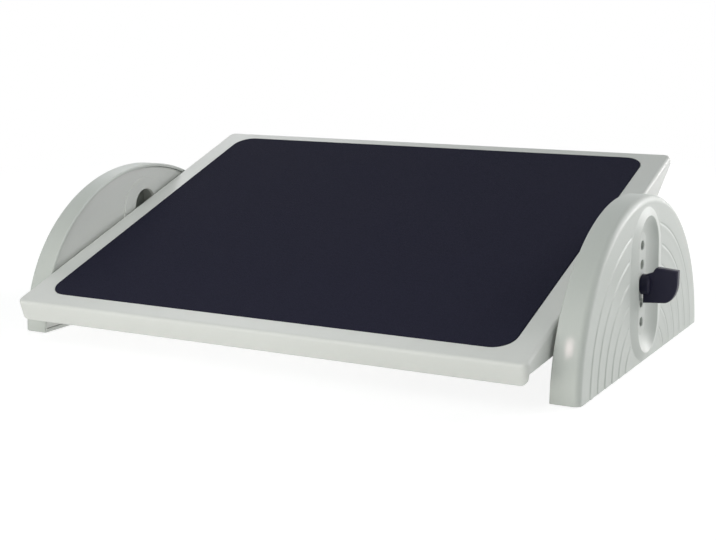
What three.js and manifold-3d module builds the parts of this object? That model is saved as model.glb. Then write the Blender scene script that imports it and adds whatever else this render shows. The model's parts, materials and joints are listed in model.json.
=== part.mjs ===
// Tilting under-desk footrest: a moulded tray with a mat, hung on two half-oval side stands.
// Millimetres, +Z up, +X to the right, the sitter's side towards -Y.
// The origin is under the middle of the whole object, on the floor.
import * as THREE from 'three';
import { mergeVertices } from 'three/addons/utils/BufferGeometryUtils.js';
import Module from 'manifold-3d';

const wasm = await Module();
wasm.setup();

// Fits and cuts
const clearance = 0.3;
const overrun = 6;

// Tray: measured along its own slope from the tilt axis
const trayWidth = 460;
const trayFront = 185.3;
const trayRear = 163.8;
const trayRise = 36.5;
const trayTilt = THREE.MathUtils.degToRad(18.64);
const trayPlate = 3.6;
const trayWall = 3.6;
const trayCorner = 6;
const trayEdge = 3;
const lipDepth = 18;
const lipCorner = 8;
const cheekFrontDepth = 8.5;
const cheekRearDepth = 6;
const cheekSlope = THREE.MathUtils.degToRad(15);
const cheekNose = 60;
const ribThickness = 2.2;
const ribDepth = 8;
const ribFrontDepth = 7;
const ribRearDepth = 4.8;
const ribPitchAcross = 110;
const ribCountAcross = 3;
const ribPitchAlong = 58;
const ribCountAlong = 5;
const bossRadius = 12;
const bossLength = 16;

// Foot mat
const matSideMargin = 20;
const matFrontMargin = 17.5;
const matRearMargin = 12;
const matCorner = 17;
const matThickness = 1.7;
const matPocket = 1.4;

// Side stands: distances across count outwards from the rim that faces the tray
const standGap = 2.5;
const standThickness = 23;
const standHalfDepth = 150.5;
const standHeight = 132;
const standBase = 1.2;
const standWall = 2.8;
const standFillet = 5.5;
const standDraft = THREE.MathUtils.degToRad(0.9);

// Nested arc grooves on the outer face
const grooveFirst = 22;
const groovePitch = 16;
const grooveCount = 6;
const grooveWidth = 1.8;
const grooveDepth = 0.7;
const grooveBorder = 2.5;

// Dished recess with its row of holes, inside a low raised collar
const recessHalfWidth = 25;
const recessHalfLength = 54.5;
const collarSideFlank = 14;
const collarEndFlank = 7;
const collarHeight = 1.8;
const recessFloorHalfWidth = 8;
const recessFloorHalfLength = 41;
const recessDepth = 3.4;
const holeHeight = 62.5;
const holePitch = 15.4;
const holeCount = 5;

// Inner cover of a stand
const coverInset = 1.5;
const coverThickness = 2.6;
const lobeHeight = 0.9;
const lobeHalfWidth = 33;
const lobeHalfLength = 58;
const slotHalfWidth = 15.4;

// Cover screws
const coverScrewShank = 1.4;
const coverScrewLength = 11;
const coverScrewHead = 3;
const coverScrewHeadHeight = 1.4;
const coverScrewBoss = 3.8;
const lowerScrewSide = 112;
const lowerScrewHeight = 20;
const upperScrewSide = 50;
const upperScrewHeight = 66;

// Slide block and its retaining pin
const blockHalfSize = 18;
const blockCorner = 5;
const blockOuter = 14.7;
const blockWeb = 1.3;
const retainingRadius = 1;
const retainingLength = 34;

// Tilt axle, its screws and the friction washer
const axleRadius = 6;
const axleReach = 8.6;
const axleGrooveDepth = 1.5;
const axleGrooveWidth = 2.6;
const axleGroovePlace = 6;
const axleFlange = 2.5;
const axleFlangeRadius = 11.5;
const axleScrewCircle = 9;
const axleScrewShank = 1.1;
const axleScrewLength = 9;
const axleScrewHead = 2.2;
const axleScrewHeadHeight = 1.3;
const washerRadius = 13;

// Lock pin and height knob
const pinRadius = 3.5;
const pinEmbedded = 7;
const hubRadius = 8.2;
const hubLength = 8;
const bladeReach = 29.2;
const bladeTop = 14.5;
const bladeTopOuter = 13.2;
const bladeBottom = 14.6;
const bladeBottomOuter = 13.4;
const bladeTopStart = 12.8;
const bladeBottomStart = 1.9;
const bladeCornerWidth = 10.8;
const bladeCornerHeight = 17.4;
const bladeShoulderStart = 9.3;
const bladeShoulder = 10.4;
const bladeNeck = 7.6;
const bladeThickness = 7;
const bladeEdge = 1.2;

// Rubber feet
const footLength = 42;
const footPlace = 116;
const footMargin = 4;
const footSeat = 1.6;

// Smoothness of the round forms
const archSegments = 36;
const grooveSegments = 14;
const filletSegments = 3;
const cornerSegments = 3;
const endSegments = 6;
const roundSegments = 10;
const screwSegments = 5;
const recessSegments = 4;
const collarSegments = 2;

// Colours and finishes
const lightPlastic = { color: 0xbcc4bc, roughness: 0.45, metalness: 0 };
const innerPlastic = { color: 0xaab2ac, roughness: 0.5, metalness: 0 };
const matRubber = { color: 0x292933, roughness: 0.9, metalness: 0 };
const knobPlastic = { color: 0x1c1c2a, roughness: 0.5, metalness: 0 };
const nylon = { color: 0xe4e0d4, roughness: 0.55, metalness: 0 };
const steel = { color: 0xb4b6ba, roughness: 0.3, metalness: 1 };
const footRubber = { color: 0x2a2a2c, roughness: 0.85, metalness: 0 };

// Sizes worked out from the ones above
const trayHalfWidth = trayWidth / 2;
const standInner = trayHalfWidth + standGap;
const draftShare = Math.tan(standDraft);
const coverBack = coverInset + coverThickness;
const pinHoleRadius = pinRadius + clearance;
const axleBore = axleRadius + clearance;
const bossInner = trayHalfWidth - bossLength;
const blockNeckStart = coverInset - lobeHeight + clearance;
const axleEnd = axleReach + clearance;
const notchStart = axleEnd + blockWeb;
const axleGrooveRadius = axleRadius - axleGrooveDepth;
const retainingOffset = axleGrooveRadius + clearance + retainingRadius;
const collarHalfWidth = recessHalfWidth + collarSideFlank;
const collarHalfLength = recessHalfLength + collarEndFlank;
const recessFloor = standThickness - recessDepth - holeHeight * draftShare;
const lipReach = (trayFront - trayEdge) * Math.cos(trayTilt) + (trayRise - trayEdge) * Math.sin(trayTilt);
const depthShift = (lipReach + trayEdge - standHalfDepth) / 2;
const coverScrewPlaces = {
  lower: { side: lowerScrewSide, height: lowerScrewHeight },
  upper: { side: upperScrewSide, height: upperScrewHeight },
};

// Turns a closed geometry into a solid for cutting and joining
function solid(geometry) {
  const bare = geometry.clone();
  bare.deleteAttribute('normal');
  bare.deleteAttribute('uv');
  const merged = mergeVertices(bare);
  return new wasm.Manifold(new wasm.Mesh({
    numProp: 3,
    vertProperties: new Float32Array(merged.attributes.position.array),
    triVerts: new Uint32Array(merged.index.array),
  }));
}

// Turns a finished solid back into a geometry
function geometryOf(body) {
  const mesh = body.getMesh();
  const geometry = new THREE.BufferGeometry();
  geometry.setAttribute('position', new THREE.BufferAttribute(new Float32Array(mesh.vertProperties), 3));
  geometry.setIndex(new THREE.BufferAttribute(new Uint32Array(mesh.triVerts), 1));
  geometry.computeVertexNormals();
  return geometry;
}

// An outline drawn in depth and height, drawn out sideways from one place to another
function prism(outline, from, to, segments = endSegments) {
  const geometry = new THREE.ExtrudeGeometry(outline, {
    depth: to - from,
    bevelEnabled: false,
    curveSegments: segments,
  });
  const sideways = new THREE.Matrix4().set(
    0, 0, 1, from,
    1, 0, 0, 0,
    0, 1, 0, 0,
    0, 0, 0, 1,
  );
  geometry.applyMatrix4(sideways);
  return solid(geometry);
}

// A round rod that runs sideways
function rod(radius, from, to, y = 0, z = 0, segments = roundSegments) {
  const outline = new THREE.Shape();
  outline.absarc(y, z, radius, 0, 2 * Math.PI);
  return prism(outline, from, to, segments);
}

// The same rod on the right or, turned round, on the left
function handedRod(side, radius, near, far, y = 0, z = 0, segments = roundSegments) {
  return side > 0 ? rod(radius, near, far, y, z, segments) : rod(radius, -far, -near, y, z, segments);
}

// Evenly spaced places, centred on zero
function spread(count, pitch) {
  return Array.from({ length: count }, (_, step) => (step - (count - 1) / 2) * pitch);
}

// A box between two corners
function block(low, high) {
  const size = high.map((value, axis) => value - low[axis]);
  const geometry = new THREE.BoxGeometry(...size);
  geometry.translate(...low.map((value, axis) => value + size[axis] / 2));
  return solid(geometry);
}

// A long outline with round ends, upright
function stadium(halfWidth, halfLength, y = 0, z = holeHeight) {
  const straight = halfLength - halfWidth;
  const outline = new THREE.Shape();
  outline.absarc(y, z + straight, halfWidth, 0, Math.PI);
  outline.absarc(y, z - straight, halfWidth, Math.PI, 2 * Math.PI);
  return outline;
}

// A rectangle with round corners
function roundedRectangle(left, right, near, far, radius) {
  const outline = new THREE.Shape();
  outline.absarc(right - radius, far - radius, radius, 0, Math.PI / 2);
  outline.absarc(left + radius, far - radius, radius, Math.PI / 2, Math.PI);
  outline.absarc(left + radius, near + radius, radius, Math.PI, 1.5 * Math.PI);
  outline.absarc(right - radius, near + radius, radius, 1.5 * Math.PI, 2 * Math.PI);
  return outline;
}

// A closed body through a row of outlines that have as many points each
function loft(rings) {
  const count = rings[0].length;
  const index = [];
  for (let ring = 0; ring + 1 < rings.length; ring += 1) {
    for (let point = 0; point < count; point += 1) {
      const next = (point + 1) % count;
      const low = ring * count;
      const high = low + count;
      index.push(low + point, low + next, high + next);
      index.push(low + point, high + next, high + point);
    }
  }
  const flat = rings[0].map((point) => new THREE.Vector2(point.y, point.z));
  const last = (rings.length - 1) * count;
  for (const [a, b, c] of THREE.ShapeUtils.triangulateShape(flat, [])) {
    index.push(a, c, b);
    index.push(last + a, last + b, last + c);
  }
  const geometry = new THREE.BufferGeometry().setFromPoints(rings.flat());
  geometry.setIndex(index);
  return solid(geometry);
}

// The left-hand twin of a right-hand geometry
function mirrored(geometry) {
  const twin = geometry.clone();
  twin.applyMatrix4(new THREE.Matrix4().makeScale(-1, 1, 1));
  const order = twin.index.array;
  for (let corner = 0; corner < order.length; corner += 3) {
    [order[corner], order[corner + 1]] = [order[corner + 1], order[corner]];
  }
  twin.computeVertexNormals();
  return twin;
}

// Side outline of the tray's cheeks: deepening from both ends to a rounded nose under the tilt axis
function cheekOutline(frontDepth, rearDepth, inset) {
  const front = -trayFront + inset;
  const rear = trayRear - inset;
  const slope = cheekSlope;
  const rise = Math.tan(slope);
  const meet = ((rearDepth - frontDepth) / rise + rear + front) / 2;
  const deepest = frontDepth + (meet - front) * rise;
  const tangent = cheekNose * rise;
  const outline = new THREE.Shape();
  outline.moveTo(front, trayRise + overrun);
  outline.lineTo(front, trayRise - frontDepth);
  outline.lineTo(meet - tangent * Math.cos(slope), trayRise - deepest + tangent * Math.sin(slope));
  const centreHeight = trayRise - deepest + cheekNose / Math.cos(slope);
  outline.absarc(meet, centreHeight, cheekNose, 1.5 * Math.PI - slope, 1.5 * Math.PI + slope);
  outline.lineTo(rear, trayRise - rearDepth);
  outline.lineTo(rear, trayRise + overrun);
  return outline;
}

// Soft-edged slab that the tray is cut from, its top at the tray's top
function traySlab() {
  const depth = 2 * trayRise;
  const outline = roundedRectangle(-trayHalfWidth, trayHalfWidth, -trayFront, trayRear, trayCorner);
  const geometry = new THREE.ExtrudeGeometry(outline, {
    depth: depth - 2 * trayEdge,
    bevelThickness: trayEdge,
    bevelSize: trayEdge,
    bevelOffset: -trayEdge,
    bevelSegments: filletSegments,
    curveSegments: cornerSegments,
  });
  geometry.translate(0, 0, trayRise - depth + trayEdge);
  return solid(geometry);
}

// Front lip with its rounded lower corners
function trayLip() {
  const outline = new THREE.Shape();
  const low = trayRise - lipDepth;
  outline.moveTo(-trayHalfWidth, trayRise);
  outline.absarc(-trayHalfWidth + lipCorner, low + lipCorner, lipCorner, Math.PI, 1.5 * Math.PI);
  outline.absarc(trayHalfWidth - lipCorner, low + lipCorner, lipCorner, 1.5 * Math.PI, 2 * Math.PI);
  outline.lineTo(trayHalfWidth, trayRise);
  const geometry = new THREE.ExtrudeGeometry(outline, {
    depth: trayWall,
    bevelEnabled: false,
    curveSegments: cornerSegments,
  });
  geometry.rotateX(Math.PI / 2);
  geometry.translate(0, -trayFront + trayWall, 0);
  return solid(geometry);
}

// Ribs under the tray's plate, both ways, no deeper than the rim hides
function trayRibs() {
  const inner = trayHalfWidth - trayWall / 2;
  const zone = prism(cheekOutline(ribFrontDepth, ribRearDepth, trayWall / 2), -inner, inner);
  const top = trayRise - trayPlate / 2;
  const low = trayRise - ribDepth;
  const half = ribThickness / 2;
  const lengthwise = spread(ribCountAcross, ribPitchAcross)
    .map((across) => block([across - half, -trayFront, low], [across + half, trayRear, top]));
  const crosswise = spread(ribCountAlong, ribPitchAlong)
    .map((along) => block([-inner, along - half, low], [inner, along + half, top]));
  const ribs = [...lengthwise, ...crosswise].reduce((joined, rib) => joined.add(rib));
  return ribs.intersect(zone);
}

// Round boss inside a cheek that holds the tilt axle, with the web that ties it to the plate
function trayBoss(side) {
  const outer = trayHalfWidth - trayWall / 2;
  const from = side > 0 ? bossInner : -outer;
  const half = trayWall / 2;
  const web = block([from, -half, 0], [from + outer - bossInner, half, trayRise - trayPlate / 2]);
  return handedRod(side, bossRadius, bossInner, outer).add(web);
}

// Tray: plate, lip and cheeks with a soft outer edge, hollow below, with ribs, bosses and the mat's pocket
function trayBody() {
  const slab = traySlab();
  const sides = prism(cheekOutline(cheekFrontDepth, cheekRearDepth, 0), -trayHalfWidth, trayHalfWidth);
  const hollowOutline = roundedRectangle(-trayHalfWidth + trayWall, trayHalfWidth - trayWall,
    -trayFront + trayWall, trayRear - trayWall, trayWall);
  const hollowGeometry = new THREE.ExtrudeGeometry(hollowOutline, {
    depth: 2 * trayRise,
    bevelEnabled: false,
    curveSegments: cornerSegments,
  });
  hollowGeometry.translate(0, 0, -trayRise - trayPlate);
  let body = slab.intersect(sides).add(slab.intersect(trayLip())).subtract(solid(hollowGeometry));
  body = body.add(trayRibs());
  for (const side of [-1, 1]) {
    body = body.add(trayBoss(side));
    body = body.subtract(handedRod(side, axleBore, bossInner - overrun, trayWidth));
    for (const y of [-axleScrewCircle, axleScrewCircle]) {
      const hole = handedRod(side, axleScrewShank + clearance, bossInner - overrun,
        bossInner + axleScrewLength, y, 0, screwSegments);
      body = body.subtract(hole);
    }
  }
  const pocket = matSlab(clearance, matPocket + overrun);
  pocket.translate(0, 0, trayRise - matPocket);
  return geometryOf(body.subtract(solid(pocket)));
}

// The mat's outline as a slab, grown all round by a little for its pocket
function matSlab(grow, thickness) {
  const half = trayHalfWidth - matSideMargin + grow;
  const front = -trayFront + matFrontMargin - grow;
  const rear = trayRear - matRearMargin + grow;
  const outline = roundedRectangle(-half, half, front, rear, matCorner + grow);
  return new THREE.ExtrudeGeometry(outline, {
    depth: thickness,
    bevelEnabled: false,
    curveSegments: cornerSegments,
  });
}

function matBody() {
  const geometry = matSlab(0, matThickness);
  geometry.translate(0, 0, trayRise - matPocket + clearance);
  return geometryOf(solid(geometry));
}

// Outline of a stand at one place across: a half oval that runs on below the floor
function archRing(across, halfDepth, height) {
  const ring = [];
  for (let step = 0; step <= archSegments; step += 1) {
    const turn = (step / archSegments) * Math.PI;
    ring.push(new THREE.Vector3(across, halfDepth * Math.cos(turn), height * Math.sin(turn)));
  }
  ring.push(new THREE.Vector3(across, -halfDepth, -overrun));
  ring.push(new THREE.Vector3(across, halfDepth, -overrun));
  return ring;
}

// Everything inside the half oval, a given distance in from the stand's outline
function archPrism(inset, from, to, floor) {
  const ends = [from, to];
  const body = loft(ends.map((across) => archRing(across, standHalfDepth - inset, standHeight - inset)));
  const half = standHalfDepth + overrun;
  return body.intersect(block([from, -half, floor], [to, half, standHeight + overrun]));
}

// The dished recess as a solid, widened and moved inwards for the wall behind it
function recessDish(grow, behind) {
  const rings = [];
  for (let step = recessSegments; step >= 0; step -= 1) {
    const share = step / recessSegments;
    const halfWidth = grow + THREE.MathUtils.lerp(recessHalfWidth, recessFloorHalfWidth, share);
    const halfLength = grow + THREE.MathUtils.lerp(recessHalfLength, recessFloorHalfLength, share);
    const deep = (collarHeight + recessDepth) * share * (2 - share);
    rings.push(stadiumRing(standThickness + collarHeight - behind - deep, halfWidth, halfLength));
  }
  if (behind === 0) {
    rings.push(stadiumRing(standThickness + overrun, recessHalfWidth, recessHalfLength));
  }
  return loft(rings);
}

// Low collar round the recess: a gentle flank that rises from the outer face to the recess's edge
function recessCollar() {
  const rings = [stadiumRing(standThickness - standWall / 2, collarHalfWidth, collarHalfLength)];
  for (let step = 0; step <= collarSegments; step += 1) {
    const share = step / collarSegments;
    const halfWidth = THREE.MathUtils.lerp(collarHalfWidth, recessHalfWidth, share);
    const halfLength = THREE.MathUtils.lerp(collarHalfLength, recessHalfLength, share);
    rings.push(stadiumRing(standThickness + collarHeight * share * (2 - share), halfWidth, halfLength));
  }
  return loft(rings);
}

function stadiumRing(across, halfWidth, halfLength) {
  const points = stadium(halfWidth, halfLength, 0).getPoints(endSegments);
  points.pop();
  return points.map((point) => new THREE.Vector3(across, point.x, point.y));
}

// One groove: a narrow band between two half ovals, stopped short of the recess
function grooveBand(inset) {
  const half = grooveWidth / 2;
  const outline = new THREE.Shape();
  const depth = standHalfDepth - inset;
  const height = standHeight - inset;
  outline.absellipse(0, 0, depth + half, height + half, 0, Math.PI, false, 0);
  outline.absellipse(0, 0, depth - half, height - half, Math.PI, 0, true, 0);
  return prism(outline, standThickness - grooveDepth, standThickness + overrun, grooveSegments);
}

function standGrooves() {
  const border = stadium(collarHalfWidth + grooveBorder, collarHalfLength + grooveBorder);
  const plain = prism(border, 0, standThickness + 2 * overrun);
  let grooves = grooveBand(grooveFirst);
  for (let count = 1; count < grooveCount; count += 1) {
    grooves = grooves.add(grooveBand(grooveFirst + count * groovePitch));
  }
  return grooves.subtract(plain);
}

// Outer half of a stand: rounded outer edge, hollow, with grooves, recess, holes and screw bosses
function standShell() {
  const rings = [archRing(-overrun, standHalfDepth, standHeight)];
  for (let step = 0; step <= filletSegments; step += 1) {
    const turn = (step / filletSegments) * Math.PI / 2;
    const inset = standFillet * (1 - Math.cos(turn));
    const across = standThickness - standFillet + standFillet * Math.sin(turn);
    rings.push(archRing(across, standHalfDepth - inset, standHeight - inset));
  }
  const backWall = standThickness - standWall;
  let body = loft(rings);
  body = body.subtract(archPrism(standWall, -2 * overrun, backWall, standBase + standWall));
  body = body.add(recessDish(standWall, standWall)).add(recessCollar());
  for (const { side, height } of Object.values(coverScrewPlaces)) {
    for (const y of [-side, side]) {
      const from = coverBack + clearance + height * draftShare;
      body = body.add(rod(coverScrewBoss, from, backWall + standWall / 2, y, height, screwSegments));
    }
  }
  body = body.subtract(recessDish(0, 0)).subtract(standGrooves());
  body = body.transform([
    1, 0, 0, 0,
    0, 1, 0, 0,
    -draftShare, 0, 1, 0,
    0, 0, 0, 1,
  ]);
  const half = standHalfDepth + overrun;
  const outside = standThickness + overrun;
  body = body.intersect(block([0, -half, standBase], [outside, half, standHeight + overrun]));
  for (const rise of spread(holeCount, holePitch)) {
    body = body.subtract(rod(pinHoleRadius, coverBack, outside, 0, holeHeight + rise));
  }
  const screwHole = rod(coverScrewShank + clearance, 0, coverInset + coverScrewLength, 0, 0, screwSegments);
  for (const { side, height } of Object.values(coverScrewPlaces)) {
    body = body.subtract(screwHole.translate([0, -side, height]));
    body = body.subtract(screwHole.translate([0, side, height]));
  }
  for (const place of [-footPlace, footPlace]) {
    const pocket = footSlab(clearance, standBase - overrun, standBase + footSeat);
    pocket.translate(0, place, 0);
    body = body.subtract(solid(pocket));
  }
  return geometryOf(body);
}

// A foot's outline as a slab, grown by a little for its pocket
function footSlab(grow, low, high) {
  const halfLength = footLength / 2 + grow;
  const outline = roundedRectangle(footMargin - grow, standThickness - footMargin - standFillet / 2 + grow,
    -halfLength, halfLength, footMargin);
  const geometry = new THREE.ExtrudeGeometry(outline, {
    depth: high - low,
    bevelEnabled: false,
    curveSegments: cornerSegments,
  });
  geometry.translate(0, 0, low);
  return geometry;
}

function footBody() {
  return geometryOf(solid(footSlab(0, 0, standBase + footSeat - clearance)));
}

// Cover that closes a stand towards the tray, with a raised lobe round the slot
function innerCover() {
  const inset = standWall + clearance;
  const floor = standBase + standWall + clearance;
  let body = archPrism(inset, coverInset, coverBack, floor);
  const lobe = prism(stadium(lobeHalfWidth, lobeHalfLength), coverInset - lobeHeight, coverBack);
  body = body.add(lobe.intersect(archPrism(inset, 0, coverBack, floor)));
  const slotHalfLength = slotHalfWidth + ((holeCount - 1) / 2) * holePitch;
  body = body.subtract(prism(stadium(slotHalfWidth, slotHalfLength), -overrun, coverBack + overrun));
  const seat = coverInset + coverScrewHeadHeight + clearance;
  const sink = rod(coverScrewHead + clearance, 0, seat, 0, 0, screwSegments);
  const way = sink.add(rod(coverScrewShank + clearance, 0, coverBack + overrun, 0, 0, screwSegments));
  for (const { side, height } of Object.values(coverScrewPlaces)) {
    body = body.subtract(way.translate([0, -side, height]));
    body = body.subtract(way.translate([0, side, height]));
  }
  return geometryOf(body);
}

// One screw of a cover, head outwards to the tray
function coverScrew() {
  const head = rod(coverScrewHead, coverInset, coverInset + coverScrewHeadHeight, 0, 0, screwSegments);
  const tip = coverInset + coverScrewLength - clearance;
  return geometryOf(head.add(rod(coverScrewShank, coverInset, tip, 0, 0, screwSegments)));
}

// Block that runs in the cover's slot: bearing for the axle inside, open notch over the lock pin outside
function slideBlock() {
  const size = blockHalfSize;
  const start = coverBack + clearance;
  const outline = roundedRectangle(-size, size, -size, size, blockCorner);
  let body = prism(outline, start, blockOuter, cornerSegments);
  body = body.add(rod(slotHalfWidth - clearance, blockNeckStart, start + clearance));
  body = body.subtract(rod(axleBore, -overrun, axleEnd));
  const outside = blockOuter + overrun;
  body = body.subtract(rod(pinHoleRadius, notchStart, outside));
  body = body.subtract(block([notchStart, -pinHoleRadius, -size - overrun], [outside, pinHoleRadius, 0]));
  return geometryOf(body.subtract(uprightPin(retainingRadius + clearance, 2 * (size + overrun))));
}

// A pin upright beside the axle, through the middle of its groove
function uprightPin(radius, length) {
  const geometry = new THREE.CylinderGeometry(radius, radius, length, 2 * screwSegments);
  geometry.rotateX(Math.PI / 2);
  geometry.translate(axleGroovePlace, retainingOffset, 0);
  return solid(geometry);
}

function retainingPin() {
  return geometryOf(uprightPin(retainingRadius, retainingLength));
}

// Tilt axle: flange against the boss, plain shaft, groove for the retaining pin
function tiltAxle() {
  const seat = bossInner - clearance;
  const face = seat - axleFlange;
  const grooveFrom = standInner + axleGroovePlace - axleGrooveWidth / 2;
  let body = rod(axleFlangeRadius, face, seat).add(rod(axleRadius, face, standInner + axleReach));
  const collar = rod(axleRadius + clearance, grooveFrom, grooveFrom + axleGrooveWidth)
    .subtract(rod(axleGrooveRadius, grooveFrom - overrun, grooveFrom + overrun));
  body = body.subtract(collar);
  for (const y of [-axleScrewCircle, axleScrewCircle]) {
    const hole = rod(axleScrewShank + clearance, face - overrun, seat + overrun, y, 0, screwSegments);
    body = body.subtract(hole);
  }
  return geometryOf(body);
}

// One of the screws that hold an axle's flange to its boss
function axleScrew() {
  const seat = bossInner - clearance - axleFlange - clearance;
  const from = seat - axleScrewHeadHeight;
  const tip = bossInner + axleScrewLength - clearance;
  const head = rod(axleScrewHead, from, seat, 0, 0, screwSegments);
  return geometryOf(head.add(rod(axleScrewShank, from, tip, 0, 0, screwSegments)));
}

// Washer on the axle between the tray's cheek and the slide block
function frictionWasher() {
  const from = trayHalfWidth + clearance;
  const to = standInner + blockNeckStart - clearance;
  return geometryOf(rod(washerRadius, from, to).subtract(rod(axleBore, from - overrun, to + overrun)));
}

// Steel pin that stands out of the knob, through the stand's wall and into the block's notch
function lockPin() {
  const start = recessFloor + clearance;
  return geometryOf(rod(pinRadius, notchStart + clearance, start + pinEmbedded - clearance));
}

// Knob: a short round hub that widens into a flat upright blade
function heightKnob() {
  const start = recessFloor + clearance;
  const end = start + bladeReach;
  const outline = new THREE.Shape();
  outline.moveTo(start + bladeBottomStart, -bladeBottom);
  outline.lineTo(end - bladeCornerWidth, -bladeBottomOuter);
  outline.absellipse(end - bladeCornerWidth, bladeCornerHeight - bladeBottomOuter,
    bladeCornerWidth, bladeCornerHeight, 1.5 * Math.PI, 2 * Math.PI, false, 0);
  outline.lineTo(end, bladeTopOuter);
  outline.lineTo(start + bladeTopStart, bladeTop);
  outline.quadraticCurveTo(start + (bladeTopStart + bladeShoulderStart) / 2, bladeTop,
    start + bladeShoulderStart, bladeShoulder);
  outline.lineTo(start + bladeBottomStart, bladeNeck);
  const geometry = new THREE.ExtrudeGeometry(outline, {
    depth: bladeThickness - 2 * bladeEdge,
    bevelThickness: bladeEdge,
    bevelSize: bladeEdge,
    bevelOffset: -bladeEdge,
    bevelSegments: filletSegments,
    curveSegments: cornerSegments,
  });
  geometry.translate(0, 0, bladeEdge - bladeThickness / 2);
  geometry.rotateX(Math.PI / 2);
  const hub = rod(hubRadius, start, start + hubLength);
  const bore = rod(pinRadius + clearance, start - overrun, start + pinEmbedded);
  return geometryOf(hub.add(solid(geometry)).subtract(bore));
}

// Puts a named sub-part into a group
function addPiece(group, name, geometry, finish, place = [0, 0, 0]) {
  const mesh = new THREE.Mesh(geometry, new THREE.MeshStandardMaterial(finish));
  mesh.name = name;
  mesh.position.set(...place);
  group.add(mesh);
}

const footrest = new THREE.Group();
footrest.position.y = depthShift;

const tray = new THREE.Group();
tray.position.z = holeHeight;
tray.rotation.x = trayTilt;
footrest.add(tray);
addPiece(tray, 'platform_tray', trayBody(), lightPlastic);
addPiece(tray, 'foot_mat', matBody(), matRubber);

const trayPieces = [
  ['tilt_axle', tiltAxle(), steel],
  ['upper_axle_screw', axleScrew(), steel, axleScrewCircle],
  ['lower_axle_screw', axleScrew(), steel, -axleScrewCircle],
  ['friction_washer', frictionWasher(), nylon],
];
const standPieces = [
  ['stand_shell', standShell(), lightPlastic, 0],
  ['inner_cover', innerCover(), innerPlastic, 0],
  ['slide_block', slideBlock(), nylon, holeHeight],
  ['retaining_pin', retainingPin(), steel, holeHeight],
  ['lock_pin', lockPin(), steel, holeHeight],
  ['height_knob', heightKnob(), knobPlastic, holeHeight],
];
for (const [side, sign] of [['right', 1], ['left', -1]]) {
  const handed = (geometry) => (sign > 0 ? geometry : mirrored(geometry));
  for (const [name, geometry, finish, along = 0] of trayPieces) {
    addPiece(tray, `${side}_${name}`, handed(geometry), finish, [0, along, 0]);
  }
  for (const [name, geometry, finish, height] of standPieces) {
    addPiece(footrest, `${side}_${name}`, handed(geometry), finish, [sign * standInner, 0, height]);
  }
  for (const [end, way] of [['front', -1], ['rear', 1]]) {
    const footAt = [sign * standInner, way * footPlace, 0];
    addPiece(footrest, `${side}_${end}_foot`, handed(footBody()), footRubber, footAt);
    for (const [level, screw] of Object.entries(coverScrewPlaces)) {
      const place = [sign * standInner, way * screw.side, screw.height];
      addPiece(footrest, `${side}_${end}_${level}_cover_screw`, handed(coverScrew()), steel, place);
    }
  }
}

export default footrest;
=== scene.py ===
# A tilting under-desk footrest: a moulded tray with a dark mat, hung between two half-oval stands.
# Metres, +Z up, +X to the sitter's right, -Y towards the sitter; the origin is on the floor under it.
import json
import math

import bmesh
import bpy
from mathutils import Matrix, Vector


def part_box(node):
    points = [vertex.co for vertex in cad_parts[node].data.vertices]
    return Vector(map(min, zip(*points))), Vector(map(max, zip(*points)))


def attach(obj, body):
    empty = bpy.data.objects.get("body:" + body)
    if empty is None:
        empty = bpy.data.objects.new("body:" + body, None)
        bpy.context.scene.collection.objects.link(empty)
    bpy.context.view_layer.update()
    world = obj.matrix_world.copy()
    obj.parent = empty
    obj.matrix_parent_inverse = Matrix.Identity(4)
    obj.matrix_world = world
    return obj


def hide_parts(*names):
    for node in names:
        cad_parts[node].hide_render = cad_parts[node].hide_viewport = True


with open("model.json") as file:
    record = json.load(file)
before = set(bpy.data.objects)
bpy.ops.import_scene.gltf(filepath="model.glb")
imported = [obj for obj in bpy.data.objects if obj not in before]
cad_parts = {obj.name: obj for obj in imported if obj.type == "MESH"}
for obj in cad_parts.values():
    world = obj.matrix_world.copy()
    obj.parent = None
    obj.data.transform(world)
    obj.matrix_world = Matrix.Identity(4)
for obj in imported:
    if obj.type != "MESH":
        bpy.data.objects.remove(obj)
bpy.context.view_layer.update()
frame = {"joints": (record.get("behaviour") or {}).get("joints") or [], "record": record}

scene = bpy.context.scene
scene.view_settings.view_transform = "Standard"


# Camera: it stands to the right of the footrest's front, a little above it, and looks down at it.
# The lens is long, as for a product picture, and the camera leans by a third of a degree.
eye = Vector((0.5761, -1.0390, 0.2896))
camera_azimuth = math.radians(28.778)
camera_descent = math.radians(11.202)
camera_lean = math.radians(0.383)
lens_length = 70.41
sensor_width = 36.0


def put(name, data):
    """A new object in the scene."""
    made = bpy.data.objects.new(name, data)
    scene.collection.objects.link(made)
    return made


ahead = Vector((
    -math.sin(camera_azimuth) * math.cos(camera_descent),
    math.cos(camera_azimuth) * math.cos(camera_descent),
    -math.sin(camera_descent),
))
level_right = ahead.cross(Vector((0, 0, 1))).normalized()
level_down = ahead.cross(level_right)
right = math.cos(camera_lean) * level_right + math.sin(camera_lean) * level_down
down = math.cos(camera_lean) * level_down - math.sin(camera_lean) * level_right
camera = put("camera", bpy.data.cameras.new("camera"))
camera.data.sensor_width = sensor_width
camera.data.lens = lens_length
camera.matrix_world = Matrix.Translation(eye) @ Matrix((right, -down, -ahead)).transposed().to_4x4()
scene.camera = camera


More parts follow.
